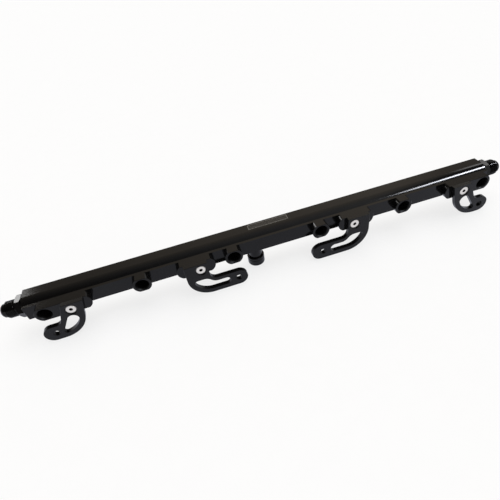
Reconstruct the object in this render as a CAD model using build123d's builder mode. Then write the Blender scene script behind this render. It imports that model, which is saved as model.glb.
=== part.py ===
from build123d import *
import math
import os

# Fuel rail for an in-line six, in millimetres.
# +X runs along the rail, +Z is up, and the injector mouths face -Y.
# The origin is midway between the two centre bracket bolt holes, on the brackets' seating face.

# ---- driving dimensions: rail ----
injector_pitch = 103.6
injector_count = 6
axis_height = 27.0  # injector axes above the bracket bolt line
left_overhang = 21.8  # rail end past the left end injector axis
right_overhang = 13.2  # rail end past the right end injector axis
body_height = 25.2
body_flat = 12.1  # flat top, from the round front's centre to the back face
leg_rise = 8.6  # top of the leg above the injector axes
leg_drop = 9.2  # underside of the leg below them
pad_depth = 8.8  # pads and bosses stand this far out of the leg
boss_radius = 10.3
end_pad_reach = 39.2  # end injector axis to the round end of its pad
centre_pad_start = 31.7  # round ends of a centre pad, outwards from the centre injectors' axes
centre_pad_end = 54.6
edge_break = 0.25
end_break = 0.6

# ---- driving dimensions: injector pockets and fuel passage ----
pocket_radius = 7.0
pocket_depth = 14.5
pocket_lead_in = 0.7
feed_radius = 4.0
passage_radius = 6.3
passage_back_wall = 10.2  # passage axis to the back face

# ---- driving dimensions: brackets and their screws ----
plate = 5.5
plate_break = 0.25
bolt_hole_radius = 3.5
bolt_hole_break = 0.5
tab_radius = 10.5
tab_overrun = 2.8  # the tabs that point left are this much longer past their bolt holes
bracket_web = 6.0
bracket_rise = 9.2  # brackets' top edges above the injector axes
screw_radius = 2.5
screw_clearance = 0.3
thread_gap = 0.05
screw_head_radius = 5.2
screw_head_edge = 0.3  # straight rim of the head
screw_sink = 1.3  # head face below the plate's front face
screw_length = 16.0
screw_hole_depth = 14.0
screw_socket = 3.0  # across flats
screw_socket_depth = 2.0
screw_tip = 0.5
screw_seat_angle = 90.0
seat_gap = 0.05

# ---- driving dimensions: centre brackets, along X outwards from the centre injectors' axes ----
centre_screw_offset = 39.1
centre_bolt_offset = -0.1
centre_plate_start = 30.8
centre_plate_end = 56.9
centre_sweep_radius = 26.5
centre_neck_fillet = 7.5
slot_width = 10.0
slot_rise = 7.5  # the slot's wide end above its narrow end
slot_step = 16.0
slot_step_offset = 39.2
slot_tip_radius = 3.5

# ---- driving dimensions: end brackets, along X inwards from the end injectors' axes ----
end_screw_inset = 27.5
end_bolt_inset = 0.6
end_plate_inset = 20.2
end_sweep_inset = 6.0
end_sweep_radius = 32.0
inner_lean = 15.0  # degrees from upright
outer_lean = 22.0
end_neck_fillet = 8.0
window_head_radius = 6.0
window_head_drop = 13.6  # below the injector axes
window_tip_radius = 2.6
window_tip_inset = 5.0  # tip centre short of the sweep's centre line

# ---- driving dimensions: O-ring ports, adapters and the capped fitting ----
port_thread_radius = 7.14
port_depth = 12.5
port_mouth_radius = 8.1
port_cone_angle = 41.0
groove_radius = 5.9
groove_length = 2.3
ring_section = 0.85
ring_gap = 0.02
stud_length = 10.0
stud_tip = 0.8
stud_bore_radius = 3.8
nose_angle = 37.0

adapter_collar_radius = 10.4
adapter_collar = 1.0
adapter_hex = 22.2  # across flats
adapter_hex_length = 6.4
hex_chamfer_angle = 30.0
adapter_relief_radius = 8.4
adapter_relief = 2.2
adapter_thread_radius = 9.5
adapter_thread = 10.0
adapter_thread_break = 0.8
adapter_step = 3.0  # plain length between the thread and the nose
adapter_nose_root = 7.6
adapter_nose_tip = 6.0
adapter_bore_radius = 4.95

centre_port_x = -23.5
centre_seat_depth = 2.3  # spotface into the underside
centre_seat_radius = 8.8
centre_port_depth = 8.0
centre_stud_length = 7.2
centre_neck_radius = 7.9
centre_neck_entry = 0.7  # how far the neck goes into the cap's mouth
centre_stub_radius = 7.1
centre_stub_length = 7.4
centre_nose_root = 6.0
centre_nose_tip = 4.4
cap_radius = 10.1
cap_height = 11.8
cap_rim_break = 0.8
cap_foot_radius = 1.6
cap_mouth_radius = 8.7
cap_mouth_depth = 1.2
cap_ring_drop = 3.0
cap_ring_width = 0.8
cap_ring_depth = 0.3

# ---- worked out from them ----
first_injector = -injector_pitch * (injector_count - 1) / 2
injector_x = [first_injector + injector_pitch * i for i in range(injector_count)]
rail_left = injector_x[0] - left_overhang
rail_right = injector_x[-1] + right_overhang
rail_length = rail_right - rail_left
rail_middle = (rail_left + rail_right) / 2
pad_face = plate
leg_face = pad_face + pad_depth
front_radius = body_height / 2
front_centre = leg_face + front_radius
back_face = front_centre + body_flat
passage_y = back_face - passage_back_wall
passage_z = axis_height
leg_height = leg_rise + leg_drop
leg_middle = axis_height + (leg_rise - leg_drop) / 2
bracket_top = axis_height + bracket_rise
centre_injector = injector_pitch / 2
centre_pad_inner = centre_injector + centre_pad_start
centre_pad_outer = centre_injector + centre_pad_end
centre_screw_x = centre_injector + centre_screw_offset
centre_bolt_x = centre_injector + centre_bolt_offset
centre_plate_inner = centre_injector + centre_plate_start
centre_plate_outer = centre_injector + centre_plate_end
slot_step_x = centre_injector + slot_step_offset
end_pad_x = injector_x[-1] - end_pad_reach
end_screw_x = injector_x[-1] - end_screw_inset
end_bolt_x = injector_x[-1] - end_bolt_inset
end_plate_outer = injector_x[-1] - end_plate_inset
end_sweep_x = injector_x[-1] - end_sweep_inset
screw_hole_radius = screw_radius + screw_clearance
screw_seat_radius = screw_head_radius + screw_head_edge + screw_sink + seat_gap
bolt_mouth_radius = bolt_hole_radius + bolt_hole_break
centre_sweep_x = centre_plate_outer - centre_sweep_radius
centre_sweep_z = centre_sweep_radius - tab_radius
centre_seat_z = axis_height - front_radius + centre_seat_depth
centre_seat = Plane(origin=(centre_port_x, passage_y, centre_seat_z), z_dir=(0, 0, -1))
centre_section = Plane(origin=centre_seat.origin, x_dir=(0, 0, -1), z_dir=(0, 1, 0))
# the cap's foot is level with the brackets' lower edges
neck_length = centre_seat_z + tab_radius - cap_height + centre_neck_entry

os.makedirs("parts", exist_ok=True)


def port_plane(x, side):
    """Plane of a port in the rail's end face at x, facing out along side times X."""
    return Plane(origin=(x, passage_y, passage_z), x_dir=(0, 1, 0), z_dir=(side, 0, 0))


def bracket_plane(side):
    """Plane of the brackets' front faces, its x running outwards on that side of the rail."""
    return Plane(origin=(0, 0, 0), x_dir=(side, 0, 0), z_dir=(0, -side, 0))


def front_plane(x, y, z):
    """Plane facing -Y, for a hole drilled in from the front."""
    return Plane(origin=(x, y, z), z_dir=(0, -1, 0))


def nose_length(root, tip):
    """Length of a flare nose between its root and tip radii."""
    return (root - tip) / math.tan(math.radians(nose_angle))


def stud_profile(length):
    """Threaded stud with its O-ring groove, from its inner end out to the port's face."""
    stud_radius = port_thread_radius - thread_gap
    return [
        (-length, stud_bore_radius),
        (-length, stud_radius - stud_tip),
        (-length + stud_tip, stud_radius),
        (-groove_length, stud_radius),
        (-groove_length, groove_radius),
        (0, groove_radius),
    ]


# ---- rail body ----
with BuildPart() as rail_body:
    with BuildSketch(Plane.YZ.offset(rail_left)):
        # round front, flat top, back and underside, and the injector leg
        with Locations((front_centre, axis_height)):
            Circle(front_radius)
        with Locations((leg_face + front_radius / 2, axis_height)):
            Rectangle(front_radius, body_height, mode=Mode.INTERSECT)
        with Locations((leg_face + front_radius / 2, leg_middle)):
            Rectangle(front_radius, leg_height)
        with Locations((front_centre + body_flat / 2, axis_height)):
            Rectangle(body_flat, body_height)
    extrude(amount=rail_length)
    rail_ends = rail_body.faces().filter_by(Axis.X)
    chamfer(rail_ends.edges(), end_break)

    # bosses round the injectors and the brackets' pads, all cut to the leg's height
    with BuildSketch(Plane.XZ.offset(-leg_face)) as pad_plan:
        for x in injector_x:
            with Locations((x, axis_height)):
                Circle(boss_radius)
        for side in (-1, 1):
            for near, far in ((centre_pad_inner, centre_pad_outer), (end_pad_x, injector_x[-1])):
                with Locations((side * near, axis_height), (side * far, axis_height)):
                    Circle(boss_radius)
                with Locations((side * (near + far) / 2, leg_middle)):
                    Rectangle(far - near, leg_height)
        with Locations((rail_middle, leg_middle)):
            Rectangle(rail_length, leg_height, mode=Mode.INTERSECT)
    extrude(amount=pad_depth)
    pad_faces = rail_body.faces().filter_by(Axis.Y).group_by(Axis.Y)[0]
    chamfer(pad_faces.edges(), edge_break)

    # injector pockets, each with a lead-in and a feed hole into the passage
    for x in injector_x:
        with BuildSketch(Plane.XY.offset(axis_height)):
            with BuildLine():
                Polyline(
                    (x, pad_face),
                    (x + pocket_radius + pocket_lead_in, pad_face),
                    (x + pocket_radius, pad_face + 2 * pocket_lead_in),
                    (x + pocket_radius, pad_face + pocket_depth),
                    (x + feed_radius, pad_face + pocket_depth),
                    (x + feed_radius, passage_y),
                    (x, passage_y),
                    close=True,
                )
            make_face()
        revolve(axis=Axis((x, 0, axis_height), (0, 1, 0)), mode=Mode.SUBTRACT)

    # fuel passage right through, and an O-ring port in each end face
    with Locations(port_plane(rail_left, -1)):
        Hole(passage_radius, depth=rail_length)
    for x, side in ((rail_left, -1), (rail_right, 1)):
        with Locations(port_plane(x, side)):
            CounterSinkHole(port_thread_radius, port_mouth_radius, port_depth, port_cone_angle)

    # the port underneath, on a spotface that gives it a whole seat
    with BuildSketch(centre_seat):
        Circle(centre_seat_radius)
    extrude(amount=front_radius, mode=Mode.SUBTRACT)
    with Locations(centre_seat):
        CounterSinkHole(port_thread_radius, port_mouth_radius, centre_port_depth, port_cone_angle)

    # tapped holes for the bracket screws
    for side in (-1, 1):
        for x in (centre_screw_x, end_screw_x):
            with Locations(front_plane(side * x, pad_face, axis_height)):
                Hole(screw_radius + thread_gap, depth=screw_hole_depth)

rail_body.part.label = "rail_body"
export_step(rail_body.part, "parts/rail_body.step")


# ---- centre brackets: x is the distance from the middle of the rail, outwards ----
slot_inner_radius = centre_sweep_radius - bracket_web
slot_low = -tab_radius + bracket_web
slot_high = slot_low + slot_width
slot_top = slot_high + slot_rise
slot_end_x = centre_bolt_x + bolt_hole_radius + bracket_web + slot_width / 2
slot_tip_reach = slot_inner_radius - slot_tip_radius
slot_tip_z = slot_top - slot_tip_radius
slot_tip_x = centre_sweep_x + math.sqrt(slot_tip_reach**2 - (slot_tip_z - centre_sweep_z) ** 2)
centre_sweep = Vector(centre_sweep_x, centre_sweep_z)
slot_tip = Vector(slot_tip_x, slot_tip_z)
slot_touch = centre_sweep + (slot_tip - centre_sweep) * (slot_inner_radius / slot_tip_reach)

for side, side_name, overrun in ((-1, "left", 0), (1, "right", tab_overrun)):
    tab_x = centre_bolt_x - overrun
    with BuildPart() as centre_bracket:
        with BuildSketch(bracket_plane(side)):
            # upright plate with a short neck, swept round below into a tab for the bolt
            with BuildLine():
                top = Line((centre_plate_outer, bracket_top), (centre_plate_inner, bracket_top))
                neck = FilletPolyline(
                    top @ 1,
                    (centre_plate_inner, tab_radius),
                    (tab_x, tab_radius),
                    radius=centre_neck_fillet,
                )
                tab = ThreePointArc(neck @ 1, (tab_x - tab_radius, 0), (tab_x, -tab_radius))
                bottom = Line(tab @ 1, (centre_sweep_x, -tab_radius))
                sweep = TangentArc(bottom @ 1, (centre_plate_outer, centre_sweep_z), tangent=bottom % 1)
                Line(sweep @ 1, top @ 0)
            make_face()
            # curved slot, one web inside the swept edge, stepping down towards the tab
            with BuildLine():
                wide = Line((slot_tip_x, slot_top), (slot_step_x, slot_top))
                fall = TangentArc(
                    wide @ 1,
                    (slot_step_x - slot_step / 2, slot_top - slot_rise / 2),
                    tangent=wide % 1,
                )
                level = TangentArc(fall @ 1, (slot_step_x - slot_step, slot_high), tangent=fall % 1)
                narrow = Line(level @ 1, (slot_end_x, slot_high))
                end = TangentArc(narrow @ 1, (slot_end_x, slot_low), tangent=narrow % 1)
                back = Line(end @ 1, (centre_sweep_x, slot_low))
                web = TangentArc(back @ 1, slot_touch, tangent=back % 1)
                TangentArc(web @ 1, wide @ 0, tangent=web % 1)
            make_face(mode=Mode.SUBTRACT)
        extrude(amount=-side * plate)
        chamfer(centre_bracket.faces().filter_by(Axis.Y).edges(), plate_break)
        with Locations(front_plane(side * centre_screw_x, 0, axis_height)):
            CounterSinkHole(screw_hole_radius, screw_seat_radius, plate, screw_seat_angle)
        with Locations(front_plane(side * centre_bolt_x, 0, 0)):
            CounterSinkHole(bolt_hole_radius, bolt_mouth_radius, plate, screw_seat_angle)
    centre_bracket.part.label = f"{side_name}_centre_bracket"
    export_step(centre_bracket.part, f"parts/{side_name}_centre_bracket.step")


# ---- end brackets: x as above ----
lean = math.radians(inner_lean)
end_sweep = Vector(end_sweep_x, end_sweep_radius - tab_radius)
leave = end_sweep - Vector(math.cos(lean), math.sin(lean)) * end_sweep_radius
end_plate_inner = leave.X - (bracket_top - leave.Y) * math.tan(lean)
crotch_x = end_plate_outer + (bracket_top - tab_radius) * math.tan(math.radians(outer_lean))

# the window lies between a head circle and a tip circle that touch the arc one web inside the sweep
window_radius = end_sweep_radius - bracket_web
head_reach = window_radius - window_head_radius
head_z = axis_height - window_head_drop
head = Vector(end_sweep.X - math.sqrt(head_reach**2 - (head_z - end_sweep.Y) ** 2), head_z)
tip_reach = window_radius - window_tip_radius
tip_x = end_sweep.X - window_tip_inset
tip = Vector(tip_x, end_sweep.Y - math.sqrt(tip_reach**2 - window_tip_inset**2))
head_touch = end_sweep + (head - end_sweep) * (window_radius / head_reach)
tip_touch = end_sweep + (tip - end_sweep) * (window_radius / tip_reach)
along = (tip - head).normalized()
across = Vector(-along.Y, along.X)
slope = (window_head_radius - window_tip_radius) / (tip - head).length
window_normal = across * math.sqrt(1 - slope**2) + along * slope
window_head = head + window_normal * window_head_radius
window_tip = tip + window_normal * window_tip_radius

for side, side_name, overrun in ((-1, "left", tab_overrun), (1, "right", 0)):
    tab_x = end_bolt_x + overrun
    with BuildPart() as end_bracket:
        with BuildSketch(bracket_plane(side)):
            # leaning plate that sweeps down and outwards into a tab for the bolt
            with BuildLine():
                top = Line((end_plate_outer, bracket_top), (end_plate_inner, bracket_top))
                inner = Line(top @ 1, leave)
                sweep = TangentArc(inner @ 1, (end_sweep_x, -tab_radius), tangent=inner % 1)
                bottom = Line(sweep @ 1, (tab_x, -tab_radius))
                tab = ThreePointArc(bottom @ 1, (tab_x + tab_radius, 0), (tab_x, tab_radius))
                FilletPolyline(tab @ 1, (crotch_x, tab_radius), top @ 0, radius=end_neck_fillet)
            make_face()
            with BuildLine():
                outer = Line(window_head, window_tip)
                tip_arc = TangentArc(outer @ 1, tip_touch, tangent=outer % 1)
                web = TangentArc(tip_arc @ 1, head_touch, tangent=tip_arc % 1)
                TangentArc(web @ 1, outer @ 0, tangent=web % 1)
            make_face(mode=Mode.SUBTRACT)
        extrude(amount=-side * plate)
        chamfer(end_bracket.faces().filter_by(Axis.Y).edges(), plate_break)
        with Locations(front_plane(side * end_screw_x, 0, axis_height)):
            CounterSinkHole(screw_hole_radius, screw_seat_radius, plate, screw_seat_angle)
        with Locations(front_plane(side * end_bolt_x, 0, 0)):
            CounterSinkHole(bolt_hole_radius, bolt_mouth_radius, plate, screw_seat_angle)
    end_bracket.part.label = f"{side_name}_end_bracket"
    export_step(end_bracket.part, f"parts/{side_name}_end_bracket.step")


# ---- countersunk socket screws, one through each bracket into its pad ----
head_cone = screw_head_edge + screw_head_radius - screw_radius
for side, side_name in ((-1, "left"), (1, "right")):
    for kind, screw_x in (("centre", centre_screw_x), ("end", end_screw_x)):
        head_face = (side * screw_x, screw_sink, axis_height)
        with BuildPart() as screw:
            with BuildSketch(Plane(origin=head_face, x_dir=(0, 1, 0), z_dir=(1, 0, 0))):
                with BuildLine():
                    Polyline(
                        (0, 0),
                        (0, screw_head_radius),
                        (screw_head_edge, screw_head_radius),
                        (head_cone, screw_radius),
                        (screw_length - screw_tip, screw_radius),
                        (screw_length, screw_radius - screw_tip),
                        (screw_length, 0),
                        close=True,
                    )
                make_face()
            revolve(axis=Axis(head_face, (0, 1, 0)))
            with BuildSketch(Plane(origin=head_face, z_dir=(0, 1, 0))):
                RegularPolygon(screw_socket / 2, 6, major_radius=False)
            extrude(amount=screw_socket_depth, mode=Mode.SUBTRACT)
        screw.part.label = f"{side_name}_{kind}_screw"
        export_step(screw.part, f"parts/{side_name}_{kind}_screw.step")


# ---- end adapters and their O-rings; profiles are (distance out of the port, radius) ----
hex_corner = adapter_hex / math.sqrt(3)
hex_drop = (hex_corner - adapter_hex / 2) * math.tan(math.radians(hex_chamfer_angle))
hex_end = adapter_collar + adapter_hex_length
thread_start = hex_end + adapter_relief
thread_end = thread_start + adapter_thread
thread_root = adapter_thread_radius - adapter_thread_break
nose_root = thread_end + adapter_step
adapter_tip = nose_root + nose_length(adapter_nose_root, adapter_nose_tip)

for side, side_name, x in ((-1, "left", rail_left), (1, "right", rail_right)):
    port = port_plane(x, side)
    section = Plane(origin=port.origin, x_dir=(side, 0, 0), z_dir=(0, -side, 0))
    with BuildPart() as adapter:
        with BuildSketch(port.offset(adapter_collar)):
            RegularPolygon(adapter_hex / 2, 6, major_radius=False)
        extrude(amount=adapter_hex_length)
        # the hexagon's corners are turned off at both ends
        with BuildSketch(section):
            with BuildLine():
                Polyline(
                    (adapter_collar, 0),
                    (adapter_collar, adapter_hex / 2),
                    (adapter_collar + hex_drop, hex_corner),
                    (hex_end - hex_drop, hex_corner),
                    (hex_end, adapter_hex / 2),
                    (hex_end, 0),
                    close=True,
                )
            make_face()
        revolve(axis=Axis(port.origin, section.x_dir), mode=Mode.INTERSECT)
        with BuildSketch(section):
            with BuildLine():
                Polyline(
                    *stud_profile(stud_length),
                    (0, adapter_collar_radius),
                    (hex_end, adapter_collar_radius),
                    (hex_end, adapter_relief_radius),
                    (thread_start, adapter_relief_radius),
                    (thread_start, thread_root),
                    (thread_start + adapter_thread_break, adapter_thread_radius),
                    (thread_end - adapter_thread_break, adapter_thread_radius),
                    (thread_end, thread_root),
                    (thread_end, adapter_nose_root),
                    (nose_root, adapter_nose_root),
                    (adapter_tip, adapter_nose_tip),
                    (adapter_tip, stud_bore_radius),
                    close=True,
                )
            make_face()
        revolve(axis=Axis(port.origin, section.x_dir))
        with Locations(port):
            Hole(stud_bore_radius, depth=stud_length)
        with Locations(port.offset(adapter_tip)):
            Hole(adapter_bore_radius, depth=adapter_tip)
    adapter.part.label = f"{side_name}_end_adapter"
    export_step(adapter.part, f"parts/{side_name}_end_adapter.step")

    with BuildPart() as o_ring:
        with BuildSketch(section):
            with Locations((-ring_gap - ring_section, groove_radius + ring_gap + ring_section)):
                Circle(ring_section)
        revolve(axis=Axis(port.origin, section.x_dir))
    o_ring.part.label = f"{side_name}_end_o_ring"
    export_step(o_ring.part, f"parts/{side_name}_end_o_ring.step")


# ---- fitting underneath, its O-ring and the round cap screwed on it ----
stub_end = neck_length + centre_stub_length
centre_tip = stub_end + nose_length(centre_nose_root, centre_nose_tip)
centre_axis = Axis(centre_section.origin, centre_section.x_dir)
with BuildPart() as centre_port_fitting:
    with BuildSketch(centre_section):
        with BuildLine():
            Polyline(
                *stud_profile(centre_stud_length),
                (0, centre_neck_radius),
                (neck_length, centre_neck_radius),
                (neck_length, centre_stub_radius),
                (stub_end, centre_stub_radius),
                (stub_end, centre_nose_root),
                (centre_tip, centre_nose_tip),
                (centre_tip, stud_bore_radius),
                close=True,
            )
        make_face()
    revolve(axis=centre_axis)
centre_port_fitting.part.label = "centre_port_fitting"
export_step(centre_port_fitting.part, "parts/centre_port_fitting.step")

with BuildPart() as centre_port_o_ring:
    with BuildSketch(centre_section):
        with Locations((-ring_gap - ring_section, groove_radius + ring_gap + ring_section)):
            Circle(ring_section)
    revolve(axis=centre_axis)
centre_port_o_ring.part.label = "centre_port_o_ring"
export_step(centre_port_o_ring.part, "parts/centre_port_o_ring.step")

cap_mouth = neck_length - centre_neck_entry
cap_foot = cap_mouth + cap_height
cap_recess = cap_mouth + cap_mouth_depth
cap_ring = cap_mouth + cap_ring_drop
cap_thread_radius = centre_stub_radius + thread_gap
with BuildPart() as centre_port_cap:
    with BuildSketch(centre_section):
        with BuildLine():
            Polyline(
                (centre_tip + seat_gap, 0),
                (centre_tip + seat_gap, centre_nose_tip),
                (stub_end + seat_gap, centre_nose_root),
                (stub_end + seat_gap, cap_thread_radius),
                (cap_recess, cap_thread_radius),
                (cap_recess, cap_mouth_radius),
                (cap_mouth, cap_mouth_radius),
                (cap_mouth, cap_radius - cap_rim_break),
                (cap_mouth + cap_rim_break, cap_radius),
                (cap_ring, cap_radius),
                (cap_ring + cap_ring_width / 2, cap_radius - cap_ring_depth),
                (cap_ring + cap_ring_width, cap_radius),
                (cap_foot, cap_radius),
                (cap_foot, 0),
                close=True,
            )
        make_face()
    revolve(axis=centre_axis)
    fillet(centre_port_cap.faces().sort_by(Axis.Z)[0].edges(), cap_foot_radius)
centre_port_cap.part.label = "centre_port_cap"
export_step(centre_port_cap.part, "parts/centre_port_cap.step")
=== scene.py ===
# %% [markdown]
# # Dressing a machined fuel rail
# A fuel rail is a long aluminium bar with a fuel passage down its middle. Four cut-out
# brackets hold it over the engine, and a hose adapter is screwed into each end. The solid
# pieces come from CAD and stay where they are. This lesson gives them their black anodised
# finish, cuts real threads on the adapters, makes the four screws, and sets up a studio.

import math

import bmesh
import bpy
from mathutils import Matrix, Vector


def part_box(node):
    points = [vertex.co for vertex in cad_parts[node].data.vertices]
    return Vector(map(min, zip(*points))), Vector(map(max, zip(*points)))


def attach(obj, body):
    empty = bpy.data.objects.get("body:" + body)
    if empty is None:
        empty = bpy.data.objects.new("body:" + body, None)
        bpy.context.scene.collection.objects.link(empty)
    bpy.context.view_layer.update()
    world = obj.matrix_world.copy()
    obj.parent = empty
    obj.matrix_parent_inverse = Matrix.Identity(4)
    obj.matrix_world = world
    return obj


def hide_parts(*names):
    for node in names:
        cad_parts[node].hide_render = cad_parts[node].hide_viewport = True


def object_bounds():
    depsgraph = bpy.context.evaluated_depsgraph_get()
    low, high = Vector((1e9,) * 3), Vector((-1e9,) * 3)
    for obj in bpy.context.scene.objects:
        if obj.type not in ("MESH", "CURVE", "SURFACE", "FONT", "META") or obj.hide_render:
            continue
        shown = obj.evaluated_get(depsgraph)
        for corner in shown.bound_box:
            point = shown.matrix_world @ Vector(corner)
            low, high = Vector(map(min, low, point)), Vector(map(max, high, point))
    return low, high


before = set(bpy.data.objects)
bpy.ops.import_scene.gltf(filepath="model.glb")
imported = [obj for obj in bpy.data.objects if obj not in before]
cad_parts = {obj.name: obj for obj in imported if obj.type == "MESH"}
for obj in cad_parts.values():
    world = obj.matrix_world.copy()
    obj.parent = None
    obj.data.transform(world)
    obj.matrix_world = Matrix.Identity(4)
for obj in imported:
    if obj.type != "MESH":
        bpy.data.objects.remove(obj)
cad_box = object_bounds()
MM = 0.001


# %% [markdown]
# ## Measuring from the frame
# The adapters, the screws and the floor take their places from the boxes of the CAD nodes, so
# they follow when a CAD size changes. The rail lies along X, its mouths face -Y and +Z is up.

# %% Places on the rail
rail_low, rail_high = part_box("rail_body")
ring_low, ring_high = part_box("left_end_o_ring")
passage_y = (ring_low.y + ring_high.y) / 2
passage_z = (ring_low.z + ring_high.z) / 2
floor_z = cad_box[0].z
rail_length = rail_high.x - rail_low.x
print(f"rail {rail_length / MM:.1f} mm long")
print(f"passage at y {passage_y / MM:.1f}, z {passage_z / MM:.1f} mm")


# %% [markdown]
# ## Small helpers for node trees
# A procedural finish is a chain of small sums. One helper makes a Math node from two values,
# where a value is either a number or another node's output, and it serves the material
# trees and the Geometry Nodes trees alike.

# %% Feed a socket, and one sum
def feed(tree, socket, value):
    """Gives a socket a plain value or links another node's output to it."""
    if isinstance(value, bpy.types.NodeSocket):
        tree.links.new(value, socket)
    elif value is not None:
        socket.default_value = value


def maths(tree, operation, first, second=None, third=None):
    """One Math node; each value is a number or another node's output."""
    node = tree.nodes.new("ShaderNodeMath")
    node.operation = operation
    for socket, value in zip(node.inputs, (first, second, third)):
        feed(tree, socket, value)
    return node.outputs[0]


# %% Noise, colour and relief
def noise(tree, place, scale, detail=2.0, stretch=(1, 1, 1)):
    """Noise on Object coordinates; stretch below 1 draws the grain out along that axis."""
    mapping = tree.nodes.new("ShaderNodeMapping")
    mapping.inputs["Scale"].default_value = stretch
    tree.links.new(place, mapping.inputs["Vector"])
    texture = tree.nodes.new("ShaderNodeTexNoise")
    texture.inputs["Scale"].default_value = scale
    texture.inputs["Detail"].default_value = detail
    tree.links.new(mapping.outputs[0], texture.inputs["Vector"])
    return texture.outputs["Fac"]


def blend_colours(tree, share, first, second):
    """The first colour where share is nought and the second where it is one."""
    node = tree.nodes.new("ShaderNodeMix")
    node.data_type = "RGBA"
    feed(tree, node.inputs["Factor"], share)
    feed(tree, node.inputs["A"], first)
    feed(tree, node.inputs["B"], second)
    return node.outputs["Result"]


def remap(tree, value, low, high, start=0.35, end=0.65):
    """Spreads a noise, which stays near a half, over low to high."""
    node = tree.nodes.new("ShaderNodeMapRange")
    feed(tree, node.inputs["Value"], value)
    for name, number in (("From Min", start), ("From Max", end), ("To Min", low), ("To Max", high)):
        feed(tree, node.inputs[name], number)
    return node.outputs[0]


def bump(tree, height, depth, under=None):
    """Relief for the shading alone, depth in metres, over the relief under it if there is one."""
    node = tree.nodes.new("ShaderNodeBump")
    node.inputs["Strength"].default_value = 1.0
    node.inputs["Distance"].default_value = depth
    feed(tree, node.inputs["Height"], height)
    feed(tree, node.inputs["Normal"], under)
    return node.outputs[0]


# %% A new finish
def new_finish(name):
    """A material with its tree, its shader and its Object coordinates."""
    finish = bpy.data.materials.new(name)
    finish.use_nodes = True
    tree = finish.node_tree
    place = tree.nodes.new("ShaderNodeTexCoord").outputs["Object"]
    return finish, tree, tree.nodes["Principled BSDF"], place


# %% [markdown]
# ## Black anodising
# Anodising grows a thin glassy layer on aluminium and dyes it. It is a dark dielectric, not a
# bare metal: the colour underneath is nearly black, and what is seen is mostly the sheen of
# the layer. The dye takes a little unevenly, and the tool marks show through as fine grain,
# drawn out along the bar on the rail and left by a small cutter on the brackets.

# %% The anodised finishes
DYE_DARK = (0.0026, 0.0024, 0.0025, 1)
DYE_LIGHT = (0.0038, 0.0035, 0.0033, 1)
DYE_PATCHES, TOOL_MARKS, PORES = 38.0, 2600.0, 7000.0  # noise scales, in features a metre
MARK_DEPTH, PORE_DEPTH = 0.010 * MM, 0.004 * MM
EVEN_GRAIN = (1, 1, 1)
GRAIN_ALONG_BAR = (0.012, 1, 1)
SHEEN_LEVEL = 0.2


def anodised(name, gloss, grain, depth=1.0):
    """gloss is the lowest and highest roughness, and grain the stretch of the tool marks.

    depth is the share of full relief.
    """
    finish, tree, shader, place = new_finish(name)
    clouds = noise(tree, place, DYE_PATCHES, detail=3.0)
    colour = blend_colours(tree, remap(tree, clouds, 0.0, 1.0), DYE_DARK, DYE_LIGHT)
    marks = noise(tree, place, TOOL_MARKS, detail=2.0, stretch=grain)
    pores = noise(tree, place, PORES, detail=1.0)
    tree.links.new(colour, shader.inputs["Base Color"])
    tree.links.new(remap(tree, marks, *gloss), shader.inputs["Roughness"])
    relief = bump(tree, pores, PORE_DEPTH * depth)
    relief = bump(tree, marks, MARK_DEPTH * depth, under=relief)
    tree.links.new(relief, shader.inputs["Normal"])
    shader.inputs["Specular IOR Level"].default_value = SHEEN_LEVEL
    return finish, tree, shader, place


bracket_finish = anodised("anodised_bracket", (0.22, 0.34), EVEN_GRAIN)[0]
fitting_finish = anodised("anodised_fitting", (0.08, 0.15), EVEN_GRAIN, depth=0.3)[0]
rail_finish, rail_tree, rail_shader, rail_place = anodised(
    "anodised_rail", (0.10, 0.14), GRAIN_ALONG_BAR, depth=0.3)
print("anodised finishes:", bracket_finish.name, fitting_finish.name, rail_finish.name)


# %% [markdown]
# ## A plain etched frame on the flat
# Rails like this have a small laser-etched field on the flat top. Here it is a plain frame with
# hatching and says nothing. A laser only bleaches the dye, so it is a change of colour and
# roughness in the rail's own material, masked by Object coordinates, and not a raised piece.

# %% The etched frame
ETCH_MIDDLE = (-2.7 * MM, 33.2 * MM)
ETCH_SIZE = (48.0 * MM, 8.4 * MM)
ETCH_LINE = 0.75 * MM
ETCH_PITCH = 1.45 * MM
HATCH_SHARE = 0.4  # width of a hatch line in its pitch
HATCH_STRENGTH = 0.45  # how far it bleaches, where the outline is one
ETCH_GREY = (0.170, 0.164, 0.150, 1)
ETCH_ROUGHNESS = 0.55
ETCH_PATCHES, ETCH_WEAKEST = 900.0, 0.55
ETCH_LAYER = 0.05 * MM  # how far under the flat the mask reaches


def inside(tree, x, y, middle, size):
    """One inside a rectangle and nought outside it."""
    across = maths(tree, "ABSOLUTE", maths(tree, "SUBTRACT", x, middle[0]))
    along = maths(tree, "ABSOLUTE", maths(tree, "SUBTRACT", y, middle[1]))
    within_x = maths(tree, "LESS_THAN", across, size[0] / 2)
    return maths(tree, "MULTIPLY", within_x, maths(tree, "LESS_THAN", along, size[1] / 2))


split = rail_tree.nodes.new("ShaderNodeSeparateXYZ")
rail_tree.links.new(rail_place, split.inputs[0])
x, y, z = split.outputs
field = inside(rail_tree, x, y, ETCH_MIDDLE, ETCH_SIZE)
inner = inside(rail_tree, x, y, ETCH_MIDDLE, tuple(side - 2 * ETCH_LINE for side in ETCH_SIZE))
outline = maths(rail_tree, "SUBTRACT", field, inner)
stripe = maths(rail_tree, "FRACT", maths(rail_tree, "DIVIDE", y, ETCH_PITCH))
hatching = maths(rail_tree, "MULTIPLY", inner, maths(rail_tree, "LESS_THAN", stripe, HATCH_SHARE))
etched = maths(rail_tree, "ADD", outline, maths(rail_tree, "MULTIPLY", hatching, HATCH_STRENGTH))
on_top = maths(rail_tree, "GREATER_THAN", z, rail_high.z - ETCH_LAYER)
etched = maths(rail_tree, "MULTIPLY", etched, on_top)
patchy = noise(rail_tree, rail_place, ETCH_PATCHES, detail=2.0)
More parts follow.
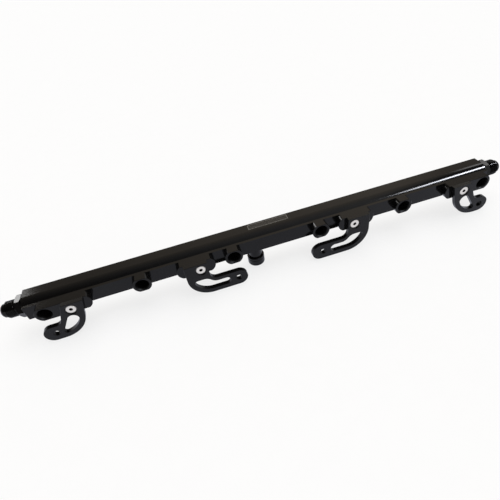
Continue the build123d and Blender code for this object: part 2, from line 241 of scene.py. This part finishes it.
etched = maths(rail_tree, "MULTIPLY", etched, remap(rail_tree, patchy, ETCH_WEAKEST, 1.0))
base_colour, roughness = rail_shader.inputs["Base Color"], rail_shader.inputs["Roughness"]
dyed, sheen = base_colour.links[0].from_socket, roughness.links[0].from_socket
rail_tree.links.new(blend_colours(rail_tree, etched, dyed, ETCH_GREY), base_colour)
dulled = maths(rail_tree, "MAXIMUM", sheen, maths(rail_tree, "MULTIPLY", etched, ETCH_ROUGHNESS))
print(f"etched frame {ETCH_SIZE[0] / MM:.1f} x {ETCH_SIZE[1] / MM:.1f} mm")


# %% [markdown]
# ## Reamed pockets
# The injectors seal in six reamed pockets. A reamer leaves fine rings, so the walls and the
# lead-ins are duller than the bar outside. The pockets stand at an even pitch, and one mask,
# folded over that pitch, finds all six. It ends at the passage, so the back stays as it is.

# %% The duller pockets
INJECTOR_PITCH = 103.6 * MM
POCKET_MOUTH = 7.72 * MM  # radius, with the lead-in
POCKET_ROUGHNESS = 0.5

folded = maths(rail_tree, "FRACT", maths(rail_tree, "DIVIDE", x, INJECTOR_PITCH))
aside = maths(rail_tree, "MULTIPLY", maths(rail_tree, "SUBTRACT", folded, 0.5), INJECTOR_PITCH)
raised = maths(rail_tree, "SUBTRACT", z, passage_z)
squares = maths(rail_tree, "MULTIPLY_ADD", aside, aside,
                maths(rail_tree, "MULTIPLY", raised, raised))
in_pocket = maths(rail_tree, "LESS_THAN", squares, POCKET_MOUTH ** 2)
in_pocket = maths(rail_tree, "MULTIPLY", in_pocket, maths(rail_tree, "LESS_THAN", y, passage_y))
reamed = maths(rail_tree, "MULTIPLY", in_pocket, POCKET_ROUGHNESS)
dulled = maths(rail_tree, "MAXIMUM", dulled, reamed)
rail_tree.links.new(dulled, rail_shader.inputs["Roughness"])
print(f"pocket mouths {2 * POCKET_MOUTH / MM:.1f} mm wide")


# %% [markdown]
# ## Rubber for the O-rings
# The three O-rings are nearly hidden. Their rubber is matt, a little grey and faintly rough.

# %% The seal rubber
RUBBER_BLACK = (0.012, 0.012, 0.013, 1)
RUBBER_GREY = (0.022, 0.022, 0.022, 1)
RUBBER_MOTTLE, RUBBER_RELIEF = 1500.0, 0.02 * MM
RUBBER_ROUGHNESS = (0.48, 0.62)

seal_finish, tree, shader, place = new_finish("seal_rubber")
mottle = noise(tree, place, RUBBER_MOTTLE, detail=3.0)
rubber = blend_colours(tree, remap(tree, mottle, 0.0, 1.0), RUBBER_BLACK, RUBBER_GREY)
tree.links.new(rubber, shader.inputs["Base Color"])
tree.links.new(remap(tree, mottle, *RUBBER_ROUGHNESS), shader.inputs["Roughness"])
tree.links.new(bump(tree, mottle, RUBBER_RELIEF), shader.inputs["Normal"])
print("rubber:", seal_finish.name)

# %% Finishes on the CAD nodes
finish_of_slot = {
    "anodised_body": rail_finish,
    "anodised_brackets": bracket_finish,
    "anodised_fittings": fitting_finish,
    "seals": seal_finish,
}
for node_name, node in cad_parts.items():
    for held in node.material_slots:
        held.material = finish_of_slot.get(held.material.name, held.material)
    print(node_name, [held.material.name for held in node.material_slots])


# %% [markdown]
# ## Turned parts
# The adapters and screws are turned on a lathe, so each is made the same way here. A turned
# part is a stack of rings round its axis. A ring's radius and height may change with the angle,
# which is how one mesh holds round collars, hexagons and the curved chamfer where a turned
# cone meets flat sides. The stack is built along Z at the origin and placed at the end.

# %% Rings and hexagons
def hexagon(across_flats):
    """The radius of a hexagon at an angle, with a corner at angle nought."""
    def radius(angle):
        from_flat = (angle % (math.pi / 3)) - math.pi / 6
        return across_flats / 2 / math.cos(from_flat)
    return radius


def chamfered(across_flats, height, slope, sign):
    """A ring where a cone, turned outwards from the flats' own circle, meets the hexagon."""
    corner = hexagon(across_flats)
    return lambda angle: (corner(angle), height + sign * slope * (corner(angle) - across_flats / 2))


def ring(radius, height):
    """A plain round ring."""
    return lambda angle: (radius, height)


def turned(name, stretches, columns):
    """A mesh object of quads between the rings of each stretch; stretches stay apart."""
    shape = bmesh.new()
    for rings in stretches:
        rows = []
        for at in rings:
            row = []
            for step in range(columns):
                angle = math.tau * step / columns
                radius, height = at(angle)
                place = (radius * math.cos(angle), radius * math.sin(angle), height)
                row.append(shape.verts.new(place))
            rows.append(row)
        for lower, upper in zip(rows, rows[1:]):
            for step in range(columns):
                after = (step + 1) % columns
                shape.faces.new((lower[step], lower[after], upper[after], upper[step]))
    mesh = bpy.data.meshes.new(name)
    shape.to_mesh(mesh)
    shape.free()
    made = bpy.data.objects.new(name, mesh)
    bpy.context.scene.collection.objects.link(made)
    return made


# %% [markdown]
# ## A thread by rule
# A screw thread is a rule, not a drawing: going once round moves the profile on by one pitch.
# Geometry Nodes follow it directly. A flat grid has one column for each step round and four
# rows for each turn: root, crest, crest, root. Each point is sent to its place on the helix,
# clamped to the thread's two ends and cut back by a 45 degree chamfer there, so the first and
# last rows close onto plain rings. Merging the doubles then joins the thread to the turned
# part, which was left open for it.

# %% The thread's proportions
THREAD_FLANK = 0.3125  # share of the pitch under each flank of a 60 degree thread
THREAD_CREST = 0.125  # and across its crest
ROWS_PER_TURN = 4
WELD = 0.004 * MM


def thread_depth(pitch):
    """How deep a thread is cut: a flank at 30 degrees is root three times as deep as wide."""
    return THREAD_FLANK * pitch * math.sqrt(3)


print(f"thread depth {thread_depth(1.0):.3f} of its pitch")


# %% The thread tree
def add_input(tree, name, kind):
    return tree.interface.new_socket(name=name, in_out="INPUT", socket_type=kind)


def make_thread_tree():
    """Builds the tree that winds a grid into a thread and welds it to the mesh that comes in."""
    tree = bpy.data.node_groups.new("cut_thread", "GeometryNodeTree")
    tree.interface.new_socket(name="Geometry", in_out="INPUT", socket_type="NodeSocketGeometry")
    for name in ("Start", "Length", "Crest Radius", "Pitch"):
        add_input(tree, name, "NodeSocketFloat")
    add_input(tree, "Columns", "NodeSocketInt")
    add_input(tree, "Finish", "NodeSocketMaterial")
    tree.interface.new_socket(name="Geometry", in_out="OUTPUT", socket_type="NodeSocketGeometry")
    given = tree.nodes.new("NodeGroupInput").outputs
    start, length, crest, pitch = (
        given[name] for name in ("Start", "Length", "Crest Radius", "Pitch"))

    turns = maths(tree, "CEIL", maths(tree, "DIVIDE", length, pitch))
    last_row = maths(tree, "MULTIPLY", maths(tree, "ADD", turns, 1.0), float(ROWS_PER_TURN))
    grid = tree.nodes.new("GeometryNodeMeshGrid")
    grid.inputs["Size X"].default_value = 1.0
    grid.inputs["Size Y"].default_value = 1.0
    feed(tree, grid.inputs["Vertices X"], maths(tree, "ADD", last_row, 1.0))
    feed(tree, grid.inputs["Vertices Y"], maths(tree, "ADD", given["Columns"], 1.0))

    split = tree.nodes.new("ShaderNodeSeparateXYZ")
    tree.links.new(tree.nodes.new("GeometryNodeInputPosition").outputs[0], split.inputs[0])
    row_share = maths(tree, "ADD", split.outputs[0], 0.5)
    row = maths(tree, "ROUND", maths(tree, "MULTIPLY", row_share, last_row))
    round_share = maths(tree, "ADD", split.outputs[1], 0.5)
    turn = maths(tree, "FLOOR", maths(tree, "DIVIDE", row, float(ROWS_PER_TURN)))
    turn = maths(tree, "SUBTRACT", turn, 1.0)
    corner = maths(tree, "ROUND", maths(tree, "MODULO", row, float(ROWS_PER_TURN)))

    on_crest = maths(tree, "MULTIPLY", maths(tree, "GREATER_THAN", corner, 0.5),
                     maths(tree, "LESS_THAN", corner, 2.5))
    profile = maths(tree, "MULTIPLY", maths(tree, "GREATER_THAN", corner, 0.5), THREAD_FLANK)
    for last_corner, width in ((1.5, THREAD_CREST), (2.5, THREAD_FLANK)):
        past = maths(tree, "GREATER_THAN", corner, last_corner)
        profile = maths(tree, "MULTIPLY_ADD", past, width, profile)
    travel = maths(tree, "ADD", maths(tree, "ADD", turn, profile), round_share)
    along = maths(tree, "MAXIMUM", maths(tree, "MULTIPLY", travel, pitch), 0.0)
    along = maths(tree, "MINIMUM", along, length)

    depth = maths(tree, "MULTIPLY", pitch, thread_depth(1.0))
    root = maths(tree, "SUBTRACT", crest, depth)
    to_end = maths(tree, "MINIMUM", along, maths(tree, "SUBTRACT", length, along))
    ridge = maths(tree, "MINIMUM", maths(tree, "MULTIPLY", on_crest, depth), to_end)
    radius = maths(tree, "ADD", root, ridge)
    angle = maths(tree, "MULTIPLY", round_share, math.tau)
    place = tree.nodes.new("ShaderNodeCombineXYZ")
    feed(tree, place.inputs[0], maths(tree, "MULTIPLY", radius, maths(tree, "COSINE", angle)))
    feed(tree, place.inputs[1], maths(tree, "MULTIPLY", radius, maths(tree, "SINE", angle)))
    feed(tree, place.inputs[2], maths(tree, "ADD", start, along))

    wound = tree.nodes.new("GeometryNodeSetPosition")
    tree.links.new(grid.outputs["Mesh"], wound.inputs["Geometry"])
    tree.links.new(place.outputs[0], wound.inputs["Position"])
    joined = tree.nodes.new("GeometryNodeJoinGeometry")
    tree.links.new(wound.outputs[0], joined.inputs[0])
    tree.links.new(given["Geometry"], joined.inputs[0])
    welded = tree.nodes.new("GeometryNodeMergeByDistance")
    welded.inputs["Distance"].default_value = WELD
    tree.links.new(joined.outputs[0], welded.inputs[0])
    real = tree.nodes.new("GeometryNodeRealizeInstances")
    tree.links.new(welded.outputs[0], real.inputs[0])
    painted = tree.nodes.new("GeometryNodeSetMaterial")
    tree.links.new(real.outputs[0], painted.inputs["Geometry"])
    tree.links.new(given["Finish"], painted.inputs["Material"])
    tree.links.new(painted.outputs[0], tree.nodes.new("NodeGroupOutput").inputs[0])
    return tree


thread_tree = make_thread_tree()
print("thread tree:", len(thread_tree.nodes), "nodes")


# %% [markdown]
# ## From a tree to a plain mesh
# A tree only lives in its modifier, and the pieces have to stand without one. So each tree is
# run once, its result is kept as a plain mesh and the modifier is removed. After that the
# doubles are merged, the faces are turned outwards and only true edges are left sharp.

# %% Run a tree
def run_tree(made, tree, settings, finish):
    """Runs a tree on an object with named settings and keeps the plain mesh that comes out."""
    modifier = made.modifiers.new(tree.name, "NODES")
    modifier.node_group = tree
    for item in tree.interface.items_tree:
        if item.in_out == "INPUT" and item.name in settings:
            modifier[item.identifier] = settings[item.name]
    bpy.context.view_layer.update()
    evaluated = made.evaluated_get(bpy.context.evaluated_depsgraph_get())
    mesh = bpy.data.meshes.new_from_object(evaluated)
    made.modifiers.clear()
    made.data = mesh
    if finish.name not in mesh.materials:
        mesh.materials.clear()
        mesh.materials.append(finish)


# %% Clean a mesh
SHARP_EDGE = math.radians(34.0)


def tidy_mesh(made):
    """Turns the faces outwards, and shades round walls smooth and keeps true edges sharp."""
    shape = bmesh.new()
    shape.from_mesh(made.data)
    bmesh.ops.remove_doubles(shape, verts=shape.verts, dist=WELD)
    bmesh.ops.dissolve_degenerate(shape, edges=shape.edges, dist=WELD / 4)
    bmesh.ops.recalc_face_normals(shape, faces=shape.faces)
    if shape.calc_volume(signed=True) < 0:
        bmesh.ops.reverse_faces(shape, faces=shape.faces)
    open_edges = sum(1 for edge in shape.edges if not edge.is_manifold)
    for face in shape.faces:
        face.smooth = True
    shape.to_mesh(made.data)
    shape.free()
    made.data.set_sharp_from_angle(angle=SHARP_EDGE)
    print(made.name, "faces", len(made.data.polygons), "open edges", open_edges)


# %% [markdown]
# ## The hose adapters
# Each adapter is one turned piece: a stud that screws into the rail's port, a collar, a hexagon
# for the spanner, a relief groove, the hose thread, and a cone that seals against the hose end.
# A bore runs right through it. Only the thread is left open, and the tree cuts it.

# %% Sizes of the adapter
ADAPTER_COLUMNS = 96
HOSE_THREAD_PITCH = 25.4 / 16 * MM  # sixteen turns to the inch
collar_radius, collar_length = 10.4 * MM, 1.0 * MM
hex_flats, hex_length = 22.2 * MM, 6.4 * MM
hex_slope = math.tan(math.radians(30))
relief_radius, relief_length = 8.4 * MM, 2.2 * MM
hose_thread_radius, hose_thread_length = 9.5 * MM, 10.0 * MM
step_length = 3.0 * MM
nose_root, nose_tip, nose_slope = 7.6 * MM, 6.0 * MM, math.tan(math.radians(37))
nose_break = 0.25 * MM
bore_radius, stud_bore_radius, bore_step = 4.95 * MM, 3.8 * MM, 1.2 * MM
stud_radius, stud_length, stud_tip = 7.14 * MM, 10.0 * MM, 0.8 * MM
groove_radius, groove_length = 5.9 * MM, 2.3 * MM

# %% The adapter's rings
hex_start = collar_length
hex_end = hex_start + hex_length
thread_start = hex_end + relief_length
thread_end = thread_start + hose_thread_length
step_end = thread_end + step_length
nose_end = step_end + (nose_root - nose_tip) / nose_slope
thread_root = hose_thread_radius - thread_depth(HOSE_THREAD_PITCH)
edge_soft = 0.15 * MM
TIGHTENED = math.radians(5.0)  # the hexagon stops a little past square


def adapter_rings():
    """From the hose thread's end round the nose, bore, stud and hexagon to its start."""
    return [
        ring(thread_root, thread_end),
        ring(nose_root, thread_end),
        ring(nose_root, step_end - edge_soft),
        ring(nose_root - edge_soft / 2, step_end + edge_soft),
        ring(nose_tip, nose_end - nose_break / 2),
        ring(nose_tip - nose_break, nose_end),
        ring(bore_radius + nose_break, nose_end),
        ring(bore_radius, nose_end - nose_break),
        ring(bore_radius, 0.0),
        ring(stud_bore_radius, -bore_step),
        ring(stud_bore_radius, -stud_length + nose_break),
        ring(stud_bore_radius + nose_break, -stud_length),
        ring(stud_radius - stud_tip, -stud_length),
        ring(stud_radius, -stud_length + stud_tip),
        ring(stud_radius, -groove_length - (stud_radius - groove_radius)),
        ring(groove_radius, -groove_length),
        ring(groove_radius, 0.0),
        ring(collar_radius - edge_soft, 0.0),
        ring(collar_radius, edge_soft),
        ring(collar_radius, hex_start),
        ring(hex_flats / 2 - edge_soft, hex_start),
        chamfered(hex_flats, hex_start + edge_soft, hex_slope, 1),
        chamfered(hex_flats, hex_end - edge_soft, hex_slope, -1),
        ring(hex_flats / 2 - edge_soft, hex_end),
        ring(relief_radius + 2 * edge_soft, hex_end),
        ring(relief_radius, hex_end + 2 * edge_soft),
        ring(relief_radius, thread_start - edge_soft),
        ring(thread_root, thread_start),
    ]


print(f"adapter {nose_end / MM:.1f} mm out of the rail and {stud_length / MM:.1f} mm into it")


# %% Make both adapters
def make_adapter(name, node_name, outward):
    """outward is +1 for the right end and -1 for the left end."""
    made = turned(name, [adapter_rings()], ADAPTER_COLUMNS)
    settings = {
        "Start": thread_start,
        "Length": hose_thread_length,
        "Crest Radius": hose_thread_radius,
        "Pitch": HOSE_THREAD_PITCH,
        "Columns": ADAPTER_COLUMNS,
        "Finish": fitting_finish,
    }
    run_tree(made, thread_tree, settings, fitting_finish)
    end_face = rail_high.x if outward > 0 else rail_low.x
    axis = Vector((outward, 0, 0)).to_track_quat("Z", "Y").to_matrix().to_4x4()
    axis = axis @ Matrix.Rotation(TIGHTENED, 4, "Z")
    made.data.transform(Matrix.Translation((end_face, passage_y, passage_z)) @ axis)
    tidy_mesh(made)
    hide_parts(node_name)
    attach(made, "root")


make_adapter("left_hose_adapter", "left_end_adapter", -1)
make_adapter("right_hose_adapter", "right_end_adapter", 1)


# %% [markdown]
# ## The bracket screws
# Four countersunk screws with a hexagon socket hold the brackets. They are plated steel, the
# only bright metal on the rail. One screw is turned with the same rings and the same thread
# tree, and a second tree sets it at each place, each one turned to its own stop, then makes
# them real.

# %% One screw
SCREW_COLUMNS = 48
SCREW_PITCH = 0.8 * MM
head_radius, head_edge, head_break = 5.2 * MM, 0.3 * MM, 0.2 * MM
shank_radius, screw_length, screw_point = 2.5 * MM, 16.0 * MM, 0.5 * MM
point_break = 0.2 * MM  # the point's small chamfer
plain_neck = 1.0 * MM  # the shank left without thread under the head
socket_flats, socket_depth, socket_mouth, drill_cone = 3.0 * MM, 2.0 * MM, 2.0 * MM, 0.5 * MM
cone_length = head_radius - shank_radius
print(f"screw {screw_length / MM:.0f} mm long, head {2 * head_radius / MM:.1f} mm across")

# %% The plated steel
PLATED_DARK = (0.74, 0.70, 0.63, 1)
PLATED_LIGHT = (0.86, 0.82, 0.74, 1)
SOCKET_PAINTED_SHADE = (0.012, 0.011, 0.010, 1)  # painted shade: the socket's hexagon recess is painted nearly black
PLATING_CLOUDS = 700.0
PLATED_ROUGHNESS = (0.24, 0.36)
TURNING_PITCH, TURNING_DEPTH = 0.22 * MM, 0.0015 * MM
UNDER_FACE, PAST_MOUTH = 0.02 * MM, 0.05 * MM  # how far past the face and the mouth the painted shade starts

steel_finish, tree, shader, place = new_finish("plated_steel")
from_centre = tree.nodes.new("ShaderNodeAttribute")
from_centre.attribute_name = "from_centre"
passes = maths(tree, "MULTIPLY", from_centre.outputs["Fac"], math.tau / TURNING_PITCH)
turning = maths(tree, "SINE", passes)
cloud = noise(tree, place, PLATING_CLOUDS, detail=3.0)
plated = blend_colours(tree, remap(tree, cloud, 0.0, 1.0), PLATED_DARK, PLATED_LIGHT)
split = tree.nodes.new("ShaderNodeSeparateXYZ")
tree.links.new(place, split.inputs[0])
head_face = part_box("left_end_screw")[0].y
# Painted shade: the socket's hexagon hollow, below the head face and inside its mouth, is painted
# nearly black.
sunk = maths(tree, "GREATER_THAN", split.outputs[1], head_face + UNDER_FACE)
near_axis = maths(tree, "LESS_THAN", from_centre.outputs["Fac"], socket_mouth + PAST_MOUTH)
socket_shade_mask = maths(tree, "MULTIPLY", sunk, near_axis)
feed(tree, shader.inputs["Base Color"], blend_colours(tree, socket_shade_mask, plated, SOCKET_PAINTED_SHADE))
tree.links.new(remap(tree, cloud, *PLATED_ROUGHNESS), shader.inputs["Roughness"])
tree.links.new(bump(tree, turning, TURNING_DEPTH), shader.inputs["Normal"])
shader.inputs["Metallic"].default_value = 1.0
print("steel:", steel_finish.name)

# %% Turn the screw and cut its thread
shank_root = shank_radius - thread_depth(SCREW_PITCH)
shank_start = -screw_length + screw_point
shank_end = -head_edge - cone_length - plain_neck
socket_corner = hexagon(socket_flats)
tip_to_thread = [
    ring(0.0, -screw_length),
    ring(shank_root - point_break, -screw_length),
    ring(shank_root, shank_start),
]
thread_to_socket = [
    ring(shank_root, shank_end),
    ring(shank_radius, shank_end + (shank_radius - shank_root)),
    ring(shank_radius, -head_edge - cone_length),
    ring(head_radius, -head_edge),
    ring(head_radius, -head_break),
    ring(head_radius - head_break, 0.0),
    ring(socket_mouth, 0.0),
    lambda angle: (socket_corner(angle), -(socket_mouth - socket_corner(angle))),
    lambda angle: (socket_corner(angle), -socket_depth),
    ring(0.0, -socket_depth - drill_cone),
]
one_screw = turned("one_screw", [tip_to_thread, thread_to_socket], SCREW_COLUMNS)
settings = {
    "Start": shank_start,
    "Length": shank_end - shank_start,
    "Crest Radius": shank_radius,
    "Pitch": SCREW_PITCH,
    "Columns": SCREW_COLUMNS,
    "Finish": steel_finish,
}
run_tree(one_screw, thread_tree, settings, steel_finish)

# %% The tree that sets the screws
def make_setting_tree():
    """Builds the tree that sets a screw on every point, facing -Y, at its own turn."""
    tree = bpy.data.node_groups.new("set_screws", "GeometryNodeTree")
    tree.interface.new_socket(name="Geometry", in_out="INPUT", socket_type="NodeSocketGeometry")
    add_input(tree, "Screw", "NodeSocketObject")
    add_input(tree, "Seed", "NodeSocketInt")
    add_input(tree, "Finish", "NodeSocketMaterial")
    tree.interface.new_socket(name="Geometry", in_out="OUTPUT", socket_type="NodeSocketGeometry")
    given = tree.nodes.new("NodeGroupInput").outputs
    screw = tree.nodes.new("GeometryNodeObjectInfo")
    tree.links.new(given["Screw"], screw.inputs["Object"])
    split = tree.nodes.new("ShaderNodeSeparateXYZ")
    tree.links.new(tree.nodes.new("GeometryNodeInputPosition").outputs[0], split.inputs[0])
    squares = maths(tree, "MULTIPLY_ADD", split.outputs[0], split.outputs[0],
                    maths(tree, "MULTIPLY", split.outputs[1], split.outputs[1]))
    measured = tree.nodes.new("GeometryNodeStoreNamedAttribute")
    measured.data_type = "FLOAT"
    measured.domain = "POINT"
    measured.inputs["Name"].default_value = "from_centre"
    tree.links.new(screw.outputs["Geometry"], measured.inputs["Geometry"])
    feed(tree, measured.inputs["Value"], maths(tree, "SQRT", squares))
    stop = tree.nodes.new("FunctionNodeRandomValue")
    stop.data_type = "FLOAT"
    stop.inputs[3].default_value = math.tau
    tree.links.new(given["Seed"], stop.inputs["Seed"])
    turn = tree.nodes.new("ShaderNodeCombineXYZ")
    tree.links.new(stop.outputs[1], turn.inputs[2])
    face_out = tree.nodes.new("FunctionNodeRotateEuler")
    face_out.inputs["Rotation"].default_value = (0, 0, 0)
    tree.links.new(turn.outputs[0], face_out.inputs["Rotation"])
    face_out.inputs["Rotate By"].default_value = (math.pi / 2, 0, 0)
    placed = tree.nodes.new("GeometryNodeInstanceOnPoints")
    tree.links.new(given["Geometry"], placed.inputs["Points"])
    tree.links.new(measured.outputs[0], placed.inputs["Instance"])
    tree.links.new(face_out.outputs[0], placed.inputs["Rotation"])
    real = tree.nodes.new("GeometryNodeRealizeInstances")
    tree.links.new(placed.outputs[0], real.inputs[0])
    painted = tree.nodes.new("GeometryNodeSetMaterial")
    tree.links.new(real.outputs[0], painted.inputs["Geometry"])
    tree.links.new(given["Finish"], painted.inputs["Material"])
    tree.links.new(painted.outputs[0], tree.nodes.new("NodeGroupOutput").inputs[0])
    return tree


# %% Set all four screws
screw_nodes = ["left_end_screw", "left_centre_screw", "right_centre_screw", "right_end_screw"]
heads = []
for node_name in screw_nodes:
    low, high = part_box(node_name)
    heads.append(((low.x + high.x) / 2, low.y, (low.z + high.z) / 2))
spots = bpy.data.meshes.new("bracket_screws")
spots.from_pydata(heads, [], [])
bracket_screws = bpy.data.objects.new("bracket_screws", spots)
bpy.context.scene.collection.objects.link(bracket_screws)
settings = {"Screw": one_screw, "Seed": 4, "Finish": steel_finish}
run_tree(bracket_screws, make_setting_tree(), settings, steel_finish)
bpy.data.objects.remove(one_screw)
tidy_mesh(bracket_screws)
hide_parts(*screw_nodes)
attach(bracket_screws, "root")


# %% [markdown]
# ## The camera
# The camera looks down on the rail from in front, a little from the left, with a wide lens and
# a slight lean. Its three axes are worked out from heading, dip and lean.

# %% Camera
CAMERA_PLACE = Vector((-82.78, -305.75, 320.76)) * MM
HEADING, DIP, LEAN = (math.radians(angle) for angle in (9.079, 42.600, -10.526))
FOCAL_PIXELS, FRAME_PIXELS, SENSOR = 387.32, 500, 36.0
NEAREST_SEEN = 10 * MM

forward = Vector((
    math.sin(HEADING) * math.cos(DIP), math.cos(HEADING) * math.cos(DIP), -math.sin(DIP)))
level = Vector((math.cos(HEADING), -math.sin(HEADING), 0))
upright = level.cross(forward)
right = level * math.cos(LEAN) + upright * math.sin(LEAN)
up = upright * math.cos(LEAN) - level * math.sin(LEAN)

lens = bpy.data.cameras.new("camera")
lens.sensor_width = SENSOR
lens.lens = FOCAL_PIXELS / FRAME_PIXELS * SENSOR
lens.clip_start = NEAREST_SEEN
camera = bpy.data.objects.new("camera", lens)
bpy.context.scene.collection.objects.link(camera)
axes = Matrix((right, up, -forward)).transposed()
camera.matrix_world = Matrix.Translation(CAMERA_PLACE) @ axes.to_4x4()
bpy.context.scene.camera = camera
print(f"lens {lens.lens:.1f} mm")


# %% [markdown]
# ## The studio
# A black glossy object is lit by what it mirrors. The floor is white paper, and it looks the
# same white to the camera and in the mirror. The world is a plain sweep of light, dim above
# the front and bright behind and to the right, which shades the rail's round front, and white
# all round low down, where it meets the floor. The sun only lights. The cards only show in the
# mirror: a strong and a faint one end to end draw the bright line along the rail, and the others
# light the rail's two ends.

# %% World
def between(tree, value, start, end, low, high):
    """A smooth step from low at start to high at end."""
    node = tree.nodes.new("ShaderNodeMapRange")
    node.interpolation_type = "SMOOTHSTEP"
    feed(tree, node.inputs["Value"], value)
    for name, number in (("From Min", start), ("From Max", end), ("To Min", low), ("To Max", high)):
        feed(tree, node.inputs[name], number)
    return node.outputs[0]


WORLD_COOL = (0.97, 0.98, 1.0, 1)
WORLD_WARM = (1.0, 0.88, 0.73, 1)
WHITE = (1, 1, 1, 1)
# each step says where it starts and ends, and its value before and after
LEFT_TO_RIGHT = (-0.62, 0.52, 0.04, 1.0)
SWEEP_LEAN = 0.35  # how far the sweep leans to the back
FAR_RIGHT = (0.44, 0.62, 1.0, 0.48)
RIGHT_GAP = (0.44, 0.57, 1.0, 0.08)
GAP_LEAN, GAP_FRONT = -0.3, -0.1
COOL_TO_WARM = (-0.3, 0.7, 0.0, 1.0)
LOW_DOWN = (0.28, 0.46, 1.0, 0.0)

world = bpy.data.worlds.new("studio")
bpy.context.scene.world = world
world.use_nodes = True
tree = world.node_tree
direction = tree.nodes.new("ShaderNodeTexCoord").outputs["Generated"]
split = tree.nodes.new("ShaderNodeSeparateXYZ")
tree.links.new(direction, split.inputs[0])
to_right, to_back, to_top = split.outputs
sweep = maths(tree, "MULTIPLY_ADD", to_back, SWEEP_LEAN, to_right)
strength = between(tree, sweep, *LEFT_TO_RIGHT)
strength = maths(tree, "MULTIPLY", strength, between(tree, to_right, *FAR_RIGHT))
gap = maths(tree, "MULTIPLY_ADD", maths(tree, "MAXIMUM", to_back, GAP_FRONT), GAP_LEAN, to_right)
strength = maths(tree, "MULTIPLY", strength, between(tree, gap, *RIGHT_GAP))
tint = blend_colours(tree, between(tree, to_back, *COOL_TO_WARM), WORLD_COOL, WORLD_WARM)
low_down = between(tree, to_top, *LOW_DOWN)
missing = maths(tree, "SUBTRACT", 1.0, strength)
strength = maths(tree, "MULTIPLY_ADD", missing, low_down, strength)
tint = blend_colours(tree, low_down, tint, WHITE)
background = tree.nodes["Background"]
feed(tree, background.inputs["Color"], tint)
feed(tree, background.inputs["Strength"], strength)
print("world:", len(tree.nodes), "nodes")

# %% Floor
FLOOR_SIZE = 12.0
PAPER_GLOW = 0.78  # share of the paper that is plain white; the rest takes light and shadow
PAPER_COOL = (0.84, 0.87, 1.0, 1)  # its tint in the mirror
PAPER_DARK, PAPER_LIGHT = (0.93, 0.93, 0.93, 1), (0.95, 0.95, 0.95, 1)
PAPER_FIBRE, PAPER_ROUGHNESS = 60.0, 0.9

floor_finish, tree, shader, place = new_finish("white_paper")
fibre = noise(tree, place, PAPER_FIBRE, detail=4.0)
paper = blend_colours(tree, remap(tree, fibre, 0.0, 1.0), PAPER_DARK, PAPER_LIGHT)
tree.links.new(paper, shader.inputs["Base Color"])
shader.inputs["Roughness"].default_value = PAPER_ROUGHNESS
shader.inputs["Specular IOR Level"].default_value = 0.0
path = tree.nodes.new("ShaderNodeLightPath").outputs
seen = maths(tree, "ADD", maths(tree, "ADD", path["Is Camera Ray"], path["Is Glossy Ray"]),
             path["Is Transmission Ray"])
glow = tree.nodes.new("ShaderNodeEmission")
feed(tree, glow.inputs["Color"], blend_colours(tree, path["Is Glossy Ray"], WHITE, PAPER_COOL))
paper_mix = tree.nodes.new("ShaderNodeMixShader")
feed(tree, paper_mix.inputs[0], maths(tree, "MULTIPLY", seen, PAPER_GLOW))
tree.links.new(shader.outputs[0], paper_mix.inputs[1])
tree.links.new(glow.outputs[0], paper_mix.inputs[2])
tree.links.new(paper_mix.outputs[0], tree.nodes["Material Output"].inputs["Surface"])
half = FLOOR_SIZE / 2
corners = [(-half, -half), (half, -half), (half, half), (-half, half)]
sheet = bpy.data.meshes.new("floor")
sheet.from_pydata([(*corner, floor_z) for corner in corners], [], [(0, 1, 2, 3)])
floor = bpy.data.objects.new("floor", sheet)
floor.data.materials.append(floor_finish)
bpy.context.scene.collection.objects.link(floor)
print(f"floor {FLOOR_SIZE:.0f} m wide at z {floor_z / MM:.1f} mm")


# %% Light that only lights
SUN_STRENGTH = 1.7
SUN_WIDTH, SUN_TIP, SUN_ROLL = (math.radians(angle) for angle in (60, -12, 14))

sun = bpy.data.lights.new("soft_sun", "SUN")
sun.energy = SUN_STRENGTH
sun.angle = SUN_WIDTH
daylight = bpy.data.objects.new("soft_sun", sun)
daylight.rotation_euler = (SUN_TIP, SUN_ROLL, 0)
daylight.visible_glossy = False
bpy.context.scene.collection.objects.link(daylight)
print("sun", SUN_STRENGTH)


# %% Cards that only show in the mirror
def card(name, place, aim, along, size, radiance, colour=(1, 1, 1), slide=0.0):
    """A flat glowing card at place that faces aim; it lies along a direction and slides on it."""
    light = bpy.data.lights.new(name, "AREA")
    light.shape = "RECTANGLE"
    light.size, light.size_y = size
    light.energy = radiance * math.pi * size[0] * size[1]
    light.color = colour
    facing = (Vector(aim) - Vector(place)).normalized()
    side = Vector(along)
    side = (side - facing * side.dot(facing)).normalized()
    lamp = bpy.data.objects.new(name, light)
    turn = Matrix((side, -facing.cross(side), -facing)).transposed()
    lamp.matrix_world = Matrix.Translation(Vector(place) + side * slide) @ turn.to_4x4()
    lamp.visible_diffuse = False
    lamp.visible_camera = False
    bpy.context.scene.collection.objects.link(lamp)
    return lamp


# %% Hang the cards
COOL_CARD = (0.90, 0.93, 1.0)
LINE_CARD = ((0.966, -0.309, 0.955), (0.22, 0.02, 0.04), (0.706, 0.708, 0))  # place, aim and along
LEFT_END = (-0.28, 0.03, 0.04)
LEFT_ALONG = (0.638, 0.643, -0.424)

cards = [
    card("bright_line_card", *LINE_CARD, (0.40, 0.13), 94.0, COOL_CARD, slide=0.08),
    card("faint_line_card", *LINE_CARD, (0.16, 0.13), 56.0, COOL_CARD, slide=-0.20),
    card("high_card", (1.290, 0.64, 0.927), (0.27, 0.03, 0.04), (1, 0, 0), (0.40, 0.28), 3.2),
    card("left_back_card", (-0.866, 1.121, 0.674), LEFT_END, LEFT_ALONG, (0.18, 0.13), 11.0),
    card("left_corner_card", (-0.845, 1.006, 0.836), LEFT_END, LEFT_ALONG, (0.06, 0.025), 13.0),
]
print("cards:", [lamp.name for lamp in cards])

# %% The plain view transform
bpy.context.scene.view_settings.view_transform = "Standard"
